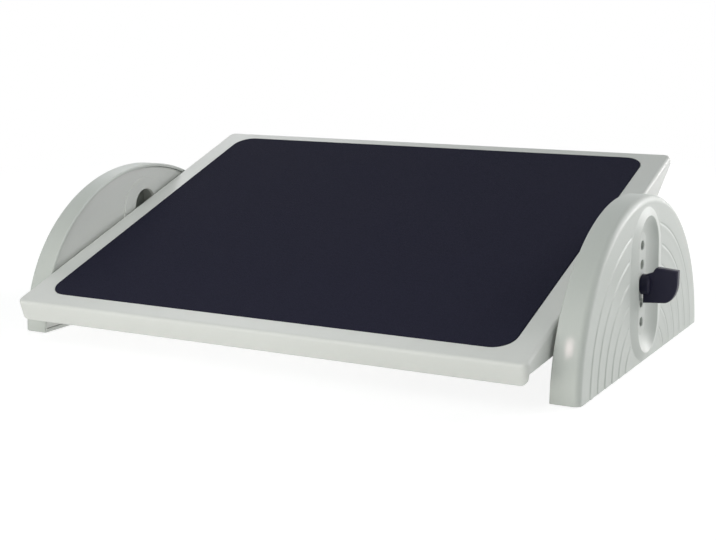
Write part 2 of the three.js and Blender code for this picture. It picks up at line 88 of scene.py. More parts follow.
# Floor and backdrop: a white table in a pale studio.
# The eye and reflections find them nearly white, and the floor keeps a faint shadow of the footrest.
class Wire:
    """A value on its way through a tree of nodes. Sums and products of it add Math nodes."""

    def __init__(self, tree, socket=None):
        self.tree = tree
        self.socket = socket

    def node(self, kind, settings=None, sockets=None, output=0):
        made = self.tree.nodes.new(kind)
        for name, value in (settings or {}).items():
            setattr(made, name, value)
        for place, value in (sockets or {}).items():
            if isinstance(value, Wire):
                self.tree.links.new(value.socket, made.inputs[place])
            else:
                made.inputs[place].default_value = value
        return Wire(self.tree, made.outputs[output] if made.outputs else None)

    def math(self, operation, *values):
        return self.node("ShaderNodeMath", {"operation": operation}, dict(enumerate(values)))

    def __add__(self, other):
        return self.math("ADD", self, other)

    def __sub__(self, other):
        return self.math("SUBTRACT", self, other)

    def __rsub__(self, other):
        return self.math("SUBTRACT", other, self)

    def __mul__(self, other):
        return self.math("MULTIPLY", self, other)

    __radd__ = __add__
    __rmul__ = __mul__


def empty_tree(owner):
    """Clears the nodes of a material or world and gives the start of its new tree."""
    owner.use_nodes = True
    owner.node_tree.nodes.clear()
    return Wire(owner.node_tree)


def mesh_piece(name, points, faces):
    """A piece of mesh made of points and faces."""
    mesh = bpy.data.meshes.new(name)
    mesh.from_pydata(points, [], faces)
    return put(name, mesh)


def between(first, last, share):
    """A value part of the way from a first to a last one."""
    return first + (last - first) * share


def seen_or_reflected(start):
    """One where the eye, a reflection or a clear body looks, and zero for light on its way."""
    seen = start.node("ShaderNodeLightPath", output="Is Camera Ray")
    for ray in ("Is Glossy Ray", "Is Transmission Ray"):
        seen = seen.math("MAXIMUM", seen, start.node("ShaderNodeLightPath", output=ray))
    return seen


studio_tone = (0.030, 0.058, 0.053, 1)
studio = bpy.data.worlds.new("studio")
start = empty_tree(studio)
dim = start.node("ShaderNodeBackground", sockets={"Color": studio_tone, "Strength": 1.0})
white = start.node("ShaderNodeBackground", sockets={"Color": (1, 1, 1, 1), "Strength": 1.0})
both = start.node("ShaderNodeMixShader", sockets={0: seen_or_reflected(start), 1: dim, 2: white})
start.node("ShaderNodeOutputWorld", sockets={"Surface": both})
scene.world = studio

table_half = 4.0
table_tone = (0.93, 0.93, 0.92, 1)
table_near = {"reach": 0.35, "share": 0.72, "glow": 1.2}
table_far = {"reach": 1.3, "share": 1.0, "glow": 1.0}
table_corners = [(x * table_half, y * table_half, 0) for x, y in ((-1, -1), (1, -1), (1, 1), (-1, 1))]
table = mesh_piece("table", table_corners, [(0, 1, 2, 3)])
table_paint = bpy.data.materials.new("table_white")
start = empty_tree(table_paint)
lit = start.node("ShaderNodeBsdfDiffuse", sockets={"Color": table_tone})
place = start.node("ShaderNodeTexCoord", output="Object")
away = start.node("ShaderNodeVectorMath", {"operation": "LENGTH"}, {0: place}, output="Value")
far_share = (away - table_near["reach"]) * (1 / (table_far["reach"] - table_near["reach"]))
far_share = start.node("ShaderNodeClamp", sockets={"Value": far_share})
strength = between(table_near["glow"], table_far["glow"], far_share)
glow = start.node("ShaderNodeEmission", sockets={"Color": (1, 1, 1, 1), "Strength": strength})
share = seen_or_reflected(start) * between(table_near["share"], table_far["share"], far_share)
both = start.node("ShaderNodeMixShader", sockets={0: share, 1: lit, 2: glow})
start.node("ShaderNodeOutputMaterial", sockets={"Surface": both})
table.data.materials.append(table_paint)


# Lamps: soft boxes at the right and behind the footrest, which graze the right stand's face.
# A wide one hangs overhead, small ones low in front light the lip, and one shines on the table before it.
# A narrow spot puts a glint on the right stand's rim.
footrest_middle = (0, 0, 0.06)
white_light = (1, 1, 1)
cool_light = (1, 0.98, 0.98)
warm_light = (1, 0.985, 0.93)
soft_boxes = (
    ("overhead", (0, 0, 2.4), (0, 0, 0), (3.0, 3.0), 9, white_light),
    ("right_wall", (2.5, 0.3, 1.0), footrest_middle, (2.0, 1.4), 5, cool_light),
    ("right_rear", (1.448, 1.448, 1.484), footrest_middle, (0.7, 0.7), 16, cool_light),
    ("right_low", (1.482, 1.967, 0.484), footrest_middle, (0.9, 0.7), 24, cool_light),
    ("rear", (0.940, 2.270, 0.750), footrest_middle, (1.4, 0.6), 7, cool_light),
    ("left_rear", (-1.448, 1.448, 1.484), footrest_middle, (0.7, 0.7), 9, (1, 0.99, 1)),
    ("front_low", (-0.25, -0.75, 0.012), (-0.2, -0.3, 0.14), (0.5, 0.5), 2.3, warm_light),
    ("front_right_low", (0.22, -0.95, 0.012), (0.12, -0.3, 0.14), (0.8, 0.5), 4.2, warm_light),
    ("table_front", (-0.1, -1.0, 0.7), (-0.1, -0.9, 0), (0.9, 0.9), 4.5, white_light),
)
glint_place = (0.38, -0.97, 0.31)
glint_aim = (0.2440, -0.1245, 0.0420)
glint_power = 22
glint_tone = (1, 0.75, 0.81)
glint_angle = math.radians(1.2)
glint_flatness = 0.32
glint_source = 0.003


def hang(name, kind, place, aim, power, tone):
    """A lamp at a place, turned towards its aim and hidden from the camera."""
    light = bpy.data.lights.new(name, kind)
    light.energy = power
    light.color = tone
    holder = put(name, light)
    holder.location = place
    holder.rotation_euler = (Vector(aim) - holder.location).to_track_quat("-Z", "Y").to_euler()
    holder.visible_camera = False
    return holder


for name, place, aim, size, power, tone in soft_boxes:
    box = hang(name, "AREA", place, aim, power, tone).data
    box.shape = "RECTANGLE"
    box.size, box.size_y = size
glint = hang("rim_glint", "SPOT", glint_place, glint_aim, glint_power, glint_tone)
glint.scale.x = glint_flatness
glint.data.spot_size = glint_angle
glint.data.spot_blend = 1
glint.data.shadow_soft_size = glint_source


# Tray: one wide thin-walled moulding in pale greenish-grey plastic, painted lighter than the stands as
# painted light, open below and ribbed.
# Its edge rolls over into a deep front lip and side cheeks that deepen to a nose under the tilt axis.
joints = {joint["name"]: joint for joint in frame["joints"]}
mounts = {mount["name"]: mount for mount in frame["record"]["mounts"]}
pivot = Vector(joints["platform_tilt"]["pos_m"])
mat_up = Vector(mounts["mat_top"]["axis"])
tray_tilt = math.atan2(-mat_up.y, mat_up.z)
tray_place = Matrix.Translation(pivot) @ Matrix.Rotation(tray_tilt, 4, "X")

tray_half_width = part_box("platform_tray")[1].x
tray_front = 0.1853
tray_rear = 0.1638
tray_rise = 0.0365
tray_wall = 0.0036
tray_plate = 0.0036
tray_corner = 0.006
tray_edge = 0.003
lip_depth = 0.018
lip_corner = 0.008
lip_fade = (0.0022, 0.0040)
cheek_front_depth = 0.0085
cheek_rear_depth = 0.006
cheek_slope = math.radians(15)
cheek_nose = 0.060
low_edge = 0.0006
inner_fillet = 0.0008
edge_band = 0.0012
mat_side_margin = 0.020
mat_front_margin = 0.0175
mat_rear_margin = 0.012
mat_corner = 0.017
mat_pocket = 0.0014
fit_gap = 0.0003
pocket_edge = 0.0004
fillet_steps = 8
corner_steps = 14
# The tray's tone is painted light: lighter than the stands' tone of the same plastic.
tray_painted_light_tone = (0.700, 0.706, 0.687, 1)


def rounding(radius, steps):
    """Insets and drops along a rounded edge, from its flat top to its upright side."""
    turns = [math.pi / 2 * step / steps for step in range(steps + 1)]
    return [(radius * (1 - math.sin(turn)), radius * (1 - math.cos(turn))) for turn in turns]


def rounded_rectangle(left, right, near, far, radius, across_shares=(), along_shares=()):
    """Points round a rectangle with round corners, with more points along its sides at the given shares."""
    middle = Vector(((left + right) / 2, (near + far) / 2))
    half_x, half_y = (right - left) / 2 - radius, (far - near) / 2 - radius
    points = []
    for turn, (side_x, side_y) in enumerate(((1, -1), (1, 1), (-1, 1), (-1, -1))):
        corner = Vector((side_x * half_x, side_y * half_y))
        for step in range(corner_steps + 1):
            angle = math.pi / 2 * (turn - 1 + step / corner_steps)
            spot = corner + radius * Vector((math.cos(angle), math.sin(angle)))
            points.append(middle + spot)
        if turn % 2 == 0:
            points += [middle + Vector((side_x * (half_x + radius), side_x * half_y * share))
                       for share in along_shares]
        else:
            points += [middle + Vector((-side_y * half_x * share, side_y * (half_y + radius)))
                       for share in across_shares]
    return points


def solid(name, points, faces):
    """A closed piece with its faces turned outwards."""
    piece = mesh_piece(name, points, faces)
    shape = bmesh.new()
    shape.from_mesh(piece.data)
    bmesh.ops.recalc_face_normals(shape, faces=shape.faces)
    shape.to_mesh(piece.data)
    shape.free()
    return piece


def skin(name, rings, capped=True):
    """A closed skin over a row of rings with as many points each, with end faces or joined end to end."""
    count = len(rings[0])
    points = [point for ring in rings for point in ring]
    faces = []
    for row in range(len(rings) - 1 if capped else len(rings)):
        low = row * count
        high = (row + 1) % len(rings) * count
        faces += [(low + step, low + (step + 1) % count, high + (step + 1) % count, high + step)
                  for step in range(count)]
    if capped:
        faces += [tuple(range(count)), tuple(range(len(points) - count, len(points)))]
    return solid(name, points, faces)


def settle(piece):
    """Turns a piece's modifiers into plain mesh."""
    drawn = piece.evaluated_get(bpy.context.evaluated_depsgraph_get())
    finished = bpy.data.meshes.new_from_object(drawn)
    finished.name = piece.name
    piece.modifiers.clear()
    piece.data = finished


def combine(piece, tools, way="DIFFERENCE"):
    """Cuts tools out of a piece, or joins them to it, and drops the tools."""
    for tool in tools:
        change = piece.modifiers.new(tool.name, "BOOLEAN")
        change.operation = way
        change.solver = "MANIFOLD"
        change.object = tool
    settle(piece)
    for tool in tools:
        bpy.data.objects.remove(tool)


def polish(piece, crease=math.radians(32)):
    """Shades a piece smooth between its creases and leaves its flat faces flat."""
    shape = bmesh.new()
    shape.from_mesh(piece.data)
    bmesh.ops.remove_doubles(shape, verts=shape.verts, dist=1e-7)
    for face in shape.faces:
        face.smooth = True
    for edge in shape.edges:
        edge.smooth = edge.calc_face_angle(math.pi) < crease
    shape.to_mesh(piece.data)
    shape.free()
    weighting = piece.modifiers.new("even_shading", "WEIGHTED_NORMAL")
    weighting.keep_sharp = True
    settle(piece)


def hand_over(piece, material, body, nodes):
    """Gives a finished piece its material and body, and hides the part's own nodes that it stands for."""
    piece.data.materials.clear()
    piece.data.materials.append(material)
    polish(piece)
    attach(piece, body)
    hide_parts(*nodes)


def turned(name, profile, centre=(0, 0), steps=48, capped=True):
    """A round piece along X from places and radii, about a centre in depth and height."""
    turns = [2 * math.pi * step / steps for step in range(steps)]
    rings = [[Vector((x, centre[0] + radius * math.cos(turn), centre[1] + radius * math.sin(turn)))
              for turn in turns] for x, radius in profile]
    return skin(name, rings, capped)


def even(radius, low, high):
    """The profile of a rod or bore of one radius."""
    return [(low, radius), (high, radius)]


def cheek_depth(y):
    """How far a cheek hangs below the tray's top at one place along its slope."""
    rise = math.tan(cheek_slope)
    meet = ((cheek_rear_depth - cheek_front_depth) / rise + tray_rear - tray_front) / 2
    deepest = cheek_front_depth + (meet + tray_front) * rise
    away = abs(y - meet)
    if away < cheek_nose * math.sin(cheek_slope):
        return deepest - cheek_nose / math.cos(cheek_slope) + math.sqrt(cheek_nose ** 2 - away ** 2)
    return deepest - away * rise


def eased(along):
    """A share held between zero and one that starts and ends softly."""
    share = min(1, max(0, along))
    return share * share * (3 - 2 * share)


def skirt_depth(point):
    """How far the tray's rim hangs down: the lip, rounded at its ends, then the cheeks and the low rear."""
    cheek = cheek_depth(point.y)
    behind = point.y + tray_front
    if behind >= lip_fade[1]:
        return cheek
    inward = tray_half_width - abs(point.x)
    corner = max(0, lip_corner - inward)
    lip = lip_depth - lip_corner + math.sqrt(lip_corner ** 2 - corner ** 2)
    return between(lip, cheek, eased((behind - lip_fade[0]) / (lip_fade[1] - lip_fade[0])))


lip_shares = [1 - 0.004 * step for step in range(1, 5)]
nose_shares = [-0.34 + 0.02 * step for step in range(28)]
across_shares = [-share for share in lip_shares] + [-0.6, -0.2, 0.2, 0.6] + lip_shares[::-1]
along_shares = [-0.97, -0.9, -0.75, -0.5] + nose_shares + [0.4, 0.7, 0.9]


def in_tray(side, front, rear, radius):
    """Points round a rectangle in the tray, some way in from its sides, its front and its rear."""
    return rounded_rectangle(-tray_half_width + side, tray_half_width - side, -tray_front + front,
                             tray_rear - rear, radius, across_shares, along_shares)


def tray_ring(inset, height):
    """One ring of the tray's skin, some way in from its outline, at a height that may change round it."""
    edge = in_tray(0, 0, 0, tray_corner)
    inner = in_tray(inset, inset, inset, tray_corner - inset)
    return [tray_place @ Vector((*point, height(place) if callable(height) else height))
            for point, place in zip(inner, edge)]


def mat_ring(grow, height):
    """One ring round the mat's outline, a little wider for its pocket."""
    outline = in_tray(mat_side_margin - grow, mat_front_margin - grow, mat_rear_margin - grow,
                      mat_corner + grow)
    return [tray_place @ Vector((*point, height)) for point in outline]


def below_rim(rise):
    """The height of the rim's lower edge round the tray, and a rise above it."""
    return lambda place: tray_rise - skirt_depth(place) + rise


tray_rings = [
    mat_ring(fit_gap, tray_rise - mat_pocket),
    mat_ring(fit_gap, tray_rise - pocket_edge),
    mat_ring(fit_gap + 0.3 * pocket_edge, tray_rise - 0.3 * pocket_edge),
    mat_ring(fit_gap + pocket_edge, tray_rise),
    mat_ring(fit_gap + edge_band, tray_rise),
    tray_ring(tray_edge + edge_band, tray_rise),
]
tray_rings += [tray_ring(inset, tray_rise - drop) for inset, drop in rounding(tray_edge, fillet_steps)]
tray_rings += [tray_ring(inset, below_rim(rise)) for rise, inset in rounding(low_edge, 3)]
tray_rings += [tray_ring(tray_wall - inset, below_rim(rise)) for inset, rise in rounding(low_edge, 3)]
tray_rings += [tray_ring(tray_wall + inset, tray_rise - tray_plate - drop)
               for drop, inset in rounding(inner_fillet, 3)]
tray = skin("tray", tray_rings)

rib_half_thickness = 0.0011
rib_depth = 0.008
rib_end_depths = (0.007, 0.0048)
boss_radius = 0.012
boss_length = 0.016
axle_bore = 0.0063
axle_screw_hole = 0.0014
axle_screw_circle = 0.009
axle_screw_reach = 0.009


def corners(low_across, high_across, low_up, high_up):
    """The four corners of an upright rectangle."""
    return [(low_across, low_up), (high_across, low_up), (high_across, high_up), (low_across, high_up)]


def bar(name, outline, low, high, axis):
    """A flat bar: an outline of two measures drawn out along X or Y."""
    rings = [[(place, *spot) for spot in outline] for place in (low, high)]
    if axis == "Y":
        rings = [[(side, place, up) for place, side, up in ring] for ring in rings]
    return skin(name, rings)


def new_tree(name, **inputs):
    """A new tree of geometry nodes, its start, and its named inputs on their way."""
    tree = bpy.data.node_groups.new(name, "GeometryNodeTree")
    for label, kind in inputs.items():
        tree.interface.new_socket(label, in_out="INPUT", socket_type="NodeSocket" + kind)
    tree.interface.new_socket("Pieces", in_out="OUTPUT", socket_type="NodeSocketGeometry")
    start = Wire(tree)
    return tree, start, [start.node("NodeGroupInput", output=place) for place in range(len(inputs))]


def set_down(start, paint, sockets):
    """Ends a tree: a piece is set down at points, made real and given its material."""
    copies = start.node("GeometryNodeInstanceOnPoints", sockets=sockets)
    whole = start.node("GeometryNodeRealizeInstances", sockets={"Geometry": copies})
    painted = start.node("GeometryNodeSetMaterial", sockets={"Geometry": whole, "Material": paint})
    start.node("NodeGroupOutput", sockets={"Pieces": painted})


def drive(piece, tree, **inputs):
    """Runs a tree of geometry nodes on a piece with its named inputs, and keeps what it makes as mesh."""
    change = piece.modifiers.new(tree.name, "NODES")
    change.node_group = tree
    for socket in tree.interface.items_tree:
        if socket.in_out == "INPUT" and socket.name.lower() in inputs:
            change[socket.identifier] = inputs[socket.name.lower()]
    settle(piece)


def new_material(name):
    """A new material, the start of its tree, and its piece's own coordinates."""
    material = bpy.data.materials.new(name)
    start = empty_tree(material)
    return material, start, start.node("ShaderNodeTexCoord", output="Object")


def noise(start, place, scale, detail):
    """A cloudy pattern with values about a half."""
    return start.node("ShaderNodeTexNoise", sockets={"Vector": place, "Scale": scale, "Detail": detail})


def tinted(tone, share):
    """A darker or lighter kind of a tone."""
    return tuple(min(1, share * part) for part in tone[:3]) + (1,)


def shade(start, share, dark, light, bump, sockets):
    """Ends a material: two tones mixed, a bump of a strength, a depth and a height, and its shader."""
    colour = start.node("ShaderNodeMix", {"data_type": "RGBA"}, {0: share, 6: dark, 7: light}, output=2)
    normal = start.node("ShaderNodeBump", sockets=dict(zip(("Strength", "Distance", "Height"), bump)))
    sockets = {"Base Color": colour, "Normal": normal, **sockets}
    shader = start.node("ShaderNodeBsdfPrincipled", sockets=sockets)
    start.node("ShaderNodeOutputMaterial", sockets={"Surface": shader})


def moulded(name, tone, rough=0.45, grain_size=0.0007, grain_height=0.00006, shine=0.3):
    """A moulded plastic: nearly even in tone, with a fine spark-eroded grain and a finish that wanders."""
    material, start, place = new_material(name)
    clouds = noise(start, place, 9.0, 3.0)
    specks = noise(start, place, 420.0, 2.0)
    grain = noise(start, place, 1 / grain_size, 4.0)
    share = clouds * 0.25 + specks * 0.15 + 0.3
    finish = clouds * 0.10 + specks * 0.06 + (rough - 0.08)
    shade(start, share, tinted(tone, 0.9), tinted(tone, 1.1), (0.35, grain_height, grain),
          {"Roughness": finish, "IOR": 1.49, "Specular IOR Level": shine})
    return material


light_plastic = moulded("light_plastic", tray_painted_light_tone)
rib_tree, start, (rib, count, pitch, paint) = new_tree(
    "repeated_along_a_line", Piece="Geometry", Count="Int", Pitch="Vector", Material="Material")
line = start.node("GeometryNodeMeshLine", sockets={"Count": count, "Offset": pitch})
set_down(start, paint, {"Points": line, "Instance": rib})
rib_top = tray_rise - tray_plate / 2
rib_low = tray_rise - rib_depth
rib_front = -tray_front + tray_wall / 2
rib_rear = tray_rear - tray_wall / 2
rise = math.tan(cheek_slope)
lengthwise_outline = [
    (rib_front, rib_top),
    (rib_front, tray_rise - rib_end_depths[0]),
    (rib_front + (rib_depth - rib_end_depths[0]) / rise, rib_low),
    (rib_rear - (rib_depth - rib_end_depths[1]) / rise, rib_low),
    (rib_rear, tray_rise - rib_end_depths[1]),
    (rib_rear, rib_top),
]
wall_middle = tray_half_width - tray_wall / 2
crosswise_outline = corners(-wall_middle, wall_middle, rib_low, rib_top)
rib_sets = (
    ("lengthwise_ribs", lengthwise_outline, "X", 3, (0.110, 0, 0)),
    ("crosswise_ribs", crosswise_outline, "Y", 5, (0, 0.058, 0)),
)
joined = []
for name, outline, axis, count, pitch in rib_sets:
    first = -(count - 1) / 2 * sum(pitch)
    ribs = bar(name, outline, first - rib_half_thickness, first + rib_half_thickness, axis)
    drive(ribs, rib_tree, count=count, pitch=pitch, material=light_plastic)
    joined.append(ribs)
boss_inner = tray_half_width - boss_length
cuts = []
for side in (-1, 1):
    joined.append(turned("axle_boss", even(boss_radius, side * boss_inner, side * wall_middle)))
    web_outline = corners(side * boss_inner, side * wall_middle, 0, rib_top)
    joined.append(bar("boss_web", web_outline, -tray_wall / 2, tray_wall / 2, "Y"))
    outside = side * (tray_half_width + boss_length)
    inside = side * (boss_inner - boss_length)
    cuts.append(turned("axle_way", even(axle_bore, inside, outside)))
    for y in (-axle_screw_circle, axle_screw_circle):
        tip = side * (boss_inner + axle_screw_reach)
        cuts.append(turned("screw_way", even(axle_screw_hole, inside, tip), (y, 0), 20))
for tool in joined + cuts:
    tool.data.transform(tray_place)
combine(tray, joined, "UNION")
combine(tray, cuts)
hand_over(tray, light_plastic, "platform", ["platform_tray"])


# Foot mat: a thin sheet of dark grained rubber with round corners, laid into the tray's shallow pocket.
# Its grain is the leathery pebble of a moulded anti-slip sheet and it hardly shines.
mat_thickness = 0.0017
mat_edge = 0.0006


def pebbled(name, tone, grain_size, grain_height, rough=0.85):
    """A rubber with a leathery pebble grain: small domes between thin darker valleys."""
    material, start, place = new_material(name)
    clouds = noise(start, place, 14.0, 4.0)
    cells = start.node("ShaderNodeTexVoronoi", {"feature": "DISTANCE_TO_EDGE"},
                       {"Vector": place, "Scale": 1 / grain_size, "Randomness": 0.9})
    fine = noise(start, place, 6 / grain_size, 3.0)
    dome = cells.math("MINIMUM", cells * 3.2, 1.0)
    share = dome * 0.55 + clouds * 0.35 + fine * 0.2
    finish = clouds * 0.08 + fine * 0.08 + (rough - 0.08)
    shade(start, share, tinted(tone, 0.72), tinted(tone, 1.15), (0.6, grain_height, dome + fine * 0.25),
          {"Roughness": finish, "IOR": 1.4, "Specular IOR Level": 0.06})
    return material


mat_tone = (0.0202, 0.0202, 0.0370, 1)
mat_rubber = pebbled("mat_rubber", mat_tone, 0.0016, 0.00025)
mat_low = tray_rise - mat_pocket + fit_gap
mat_high = mat_low + mat_thickness
mat_rings = [mat_ring(0, mat_low), mat_ring(0, mat_high - mat_edge)]
mat_rings += [mat_ring(-inset, mat_high - drop) for drop, inset in rounding(mat_edge, 4)[1:]]
mat = skin("mat", mat_rings)
hand_over(mat, mat_rubber, "platform", ["foot_mat"])


# Stands: half-oval hollow mouldings of the same pale plastic, painted darker and greener than the tray as
# painted shade, open towards the tray.
# The outer face leans in a little and has nested arc grooves round a long dished recess with five holes.
stand_inner = tray_half_width + 0.0025
stand_thickness = 0.023
stand_half_depth = 0.1505
stand_height = 0.132
stand_base = 0.0012
stand_wall = 0.0028
stand_fillet = 0.0055
stand_draft = math.tan(math.radians(0.9))
rim_edge = 0.0012
base_edge = 0.0008
arch_steps = 240
foot_steps = 4
face_border = 0.001
face_core = 0.1285
groove_first = 0.022
groove_pitch = 0.016
groove_count = 6
groove_profile = ((-0.0022, 0), (-0.0016, 0.00010), (-0.0010, 0.00032), (-0.0005, 0.00042), (0.0, 0.00028),
                  (0.0006, -0.00006), (0.0012, -0.00022), (0.0018, -0.00026), (0.0030, -0.00019),
                  (0.0048, -0.00008), (0.0070, 0))
groove_border = 0.0025
groove_fade = 0.0015
collar_half_width = 0.039
collar_half_length = 0.0615
collar_height = 0.0024
collar_swell = 1.2
collar_steps = 10
recess_half_width = 0.025
recess_half_length = 0.0545
recess_floor_half_width = 0.008
recess_floor_half_length = 0.041
recess_depth = 0.0034
recess_swell = 1.6
recess_flare = 0.0003
recess_steps = 18
hole_height = pivot.z
hole_pitch = 0.0154
hole_count = 5
hole_radius = 0.0038
hole_flare = 0.0004
cover_inset = 0.0015
cover_thickness = 0.0026
cover_back = cover_inset + cover_thickness
cover_screw_hole = 0.0017
cover_screw_boss = 0.0038
cover_screw_length = 0.011
guide_inner = 0.0184
guide_thickness = 0.0016
guide_low = 0.0095
guide_high = 0.1165
cover_screw_places = ((-0.112, 0.020), (0.112, 0.020), (-0.050, 0.066), (0.050, 0.066))
foot_place = 0.116
foot_half_length = 0.021
foot_margin = 0.004
foot_seat = 0.0016
# The stands' tone is painted shade: darker and greener than the tray's tone of the same plastic.
stand_painted_shade_tone = (0.584, 0.606, 0.581, 1)


def in_stand(across, y, z):
    """A place in the right stand: across from its rim, along its depth and up from the floor."""
    lean = stand_draft * z * min(1, max(0, across / stand_thickness))
    return Vector((stand_inner + across - lean, pivot.y + y, z))


def arch(inset, floor, edge=0.0):
    """Depths and heights along a half oval, from its rear foot over the top to its front foot."""
    half, top = stand_half_depth - inset, stand_height - inset
    start = math.asin((floor + edge) / top)
    turns = [start + (math.pi - 2 * start) * step / arch_steps for step in range(arch_steps + 1)]
    curve = [(half * math.cos(turn), top * math.sin(turn)) for turn in turns]
    if not edge:
        return curve
    feet = [(curve[0][0] - inset, floor + rise) for inset, rise in rounding(edge, foot_steps)[:-1]]
    return feet + curve + [(-y, z) for y, z in reversed(feet)]


def stadium(half_width, half_length, steps=32, side_steps=12):
    """Depths and heights round an upright outline with round ends, about the middle hole."""
    straight = half_length - half_width
    points = []
    for end in (1, -1):
        turns = [math.pi * (step / steps + (end < 0)) for step in range(steps + 1)]
        points += [(half_width * math.cos(turn), hole_height + end * straight + half_width * math.sin(turn))
                   for turn in turns]
        points += [(-end * half_width, hole_height + end * straight * (1 - 2 * step / side_steps))
                   for step in range(1, side_steps)]
    return points


def groove_share(y, z):
    """How fully a groove is cut at a place: it fades out where the collar of the recess begins."""
    straight = collar_half_length - collar_half_width
    beyond = max(0, abs(z - hole_height) - straight)
    away = math.hypot(y, beyond) - collar_half_width - groove_border
    return eased(away / groove_fade)


stand_rows = [(inset, across, 0) for inset, across in rounding(rim_edge, 4)]
side_reach = stand_thickness - stand_fillet
stand_rows += [(0, rim_edge + (side_reach - rim_edge) * share / 3, 0) for share in (1, 2)]
stand_rows += [(inset, stand_thickness - short, 0) for short, inset in rounding(stand_fillet, 10)]
stand_rows.append((stand_fillet + face_border, stand_thickness, 0))
for groove in range(groove_count):
    stand_rows += [(groove_first + groove * groove_pitch + inward, stand_thickness, sink)
                   for inward, sink in groove_profile]
stand_rows.append((face_core, stand_thickness, 0))

rows = [[in_stand(across - sink * groove_share(y, z), y, z) for y, z in arch(inset, stand_base, base_edge)]
        for inset, across, sink in stand_rows]
count = len(rows[0])
faces = [(low + step, low + step + 1, low + count + step + 1, low + count + step)
         for low in range(0, count * (len(rows) - 1), count) for step in range(count - 1)]
last = count * (len(rows) - 1)
faces += [tuple(range(count)), tuple(range(last, last + count)),
          (*range(0, last + 1, count), *range(last + count - 1, 0, -count))]
stand = solid("right_stand", [point for row in rows for point in row], faces)


def leaning_ring(across, outline):
    """A ring of depths and heights in the right stand, which leans with its outer face."""
    return [in_stand(across, y, z) for y, z in outline]


def swelling(share, swell):
    """A share that rises steeply at first, for a rounded flank."""
    return share * (swell - (swell - 1) * share)


def recess_collar():
    """The low collar round the recess, rising from the outer face to the recess's edge."""
    rows = [(stand_thickness - stand_wall / 2, 0)]
    for step in range(collar_steps + 1):
        share = step / collar_steps
        rows.append((stand_thickness + collar_height * swelling(share, collar_swell), share))
    rings = []
    for across, share in rows:
        outline = stadium(between(collar_half_width, recess_half_width, share),
                          between(collar_half_length, recess_half_length, share))
        rings.append(leaning_ring(across, [(y, max(z, stand_base)) for y, z in outline]))
    return skin("collar", rings)


def recess_dish(grow, behind):
    """The dished recess as a block, widened and moved inwards for the wall behind it."""
    crest = stand_thickness + collar_height
    flare = 0 if behind else recess_flare
    rings = []
    if not behind:
        mouth = stadium(recess_half_width + flare, recess_half_length + flare)
        rings = [leaning_ring(across, mouth) for across in (crest + stand_fillet, crest)]
    for step in range(recess_steps + 1):
        share = step / recess_steps
        outline = stadium(grow + between(recess_half_width, recess_floor_half_width, share),
                          grow + between(recess_half_length, recess_floor_half_length, share))
        sunk = behind + (collar_height + recess_depth) * swelling(share, recess_swell)
        rings.append(leaning_ring(crest - sunk - flare / 2 * (1 - share), outline))
    return skin("recess", rings)


hollow = skin("hollow", [leaning_ring(across, arch(stand_wall, stand_base + stand_wall))
                         for across in (-stand_wall, stand_thickness - stand_wall)])
combine(hollow, [recess_dish(stand_wall, stand_wall)])


def round_in_stand(name, profile, y, z, steps=48):
    """A round piece in the right stand, from radii and their places across from its rim."""
    placed = [(stand_inner + across, radius) for across, radius in profile]
    return turned(name, placed, (pivot.y + y, z), steps)


holes = []
for place in range(hole_count):
    z = hole_height + (place - (hole_count - 1) / 2) * hole_pitch
    floor = stand_thickness - recess_depth - z * stand_draft
    profile = [(stand_wall, hole_radius), (floor - hole_flare, hole_radius)]
    profile += [(floor - drop, hole_radius + grow) for drop, grow in rounding(hole_flare, 4)[1:]]
    profile.append((floor + stand_fillet, hole_radius + hole_flare))
    holes.append(round_in_stand("pin_hole", profile, 0, z, 40))


def foot_ring(grow, place, height):
    """One ring round a foot's outline, a little wider for its pocket."""
    near = stand_inner + foot_margin - grow
    far = stand_inner + stand_thickness - foot_margin - stand_fillet / 2 + grow
    outline = rounded_rectangle(near, far, pivot.y + place - foot_half_length - grow,
                                pivot.y + place + foot_half_length + grow, foot_margin)
    return [Vector((*point, height)) for point in outline]


def twin(piece, name):
    """The left-hand copy of a right-hand piece."""
    mesh = piece.data.copy()
    mesh.name = name
    mesh.transform(Matrix.Scale(-1, 4, (1, 0, 0)))
    mesh.flip_normals()
    return put(name, mesh)


def hand_over_pair(piece, material, body, node):
    """Hands over a right-hand piece and its left-hand copy."""
    left_name, left_body, left_node = [name.replace("right", "left") for name in (piece.name, body, node)]
    left_piece = twin(piece, left_name)
    hand_over(piece, material, body, [node])
    hand_over(left_piece, material, left_body, [left_node])


pockets = [skin("foot_pocket", [foot_ring(fit_gap, place, height)
                                for height in (stand_base - foot_seat, stand_base + foot_seat)])
           for place in (-foot_place, foot_place)]
screw_bosses = []
screw_ways = []
for y, z in cover_screw_places:
    boss = even(cover_screw_boss, cover_back + fit_gap, stand_thickness - stand_wall / 2 - z * stand_draft)
    screw_bosses.append(round_in_stand("screw_boss", boss, y, z, 32))
    way = even(cover_screw_hole, 0, cover_inset + cover_screw_length)
    screw_ways.append(round_in_stand("cover_screw_way", way, y, z, 20))
guide_outer = guide_inner + guide_thickness
guide_middle = guide_inner + guide_thickness / 2
guide_sides = (
    (-guide_outer, -guide_inner, guide_low, guide_high),
    (guide_inner, guide_outer, guide_low, guide_high),
    (-guide_middle, guide_middle, guide_low, guide_low + guide_thickness),
    (-guide_middle, guide_middle, guide_high - guide_thickness, guide_high),
)
guides = [skin("guide", [leaning_ring(across, corners(*sides))
                         for across in (cover_back + fit_gap, stand_thickness - stand_wall / 2)])
          for sides in guide_sides]
combine(stand, [recess_collar()], "UNION")
combine(stand, [hollow])
combine(stand, [*screw_bosses, *guides], "UNION")
combine(stand, [recess_dish(0, 0), *holes, *pockets, *screw_ways])
stand_plastic = moulded("stand_plastic", stand_painted_shade_tone)
hand_over_pair(stand, stand_plastic, "stands", "right_stand_shell")


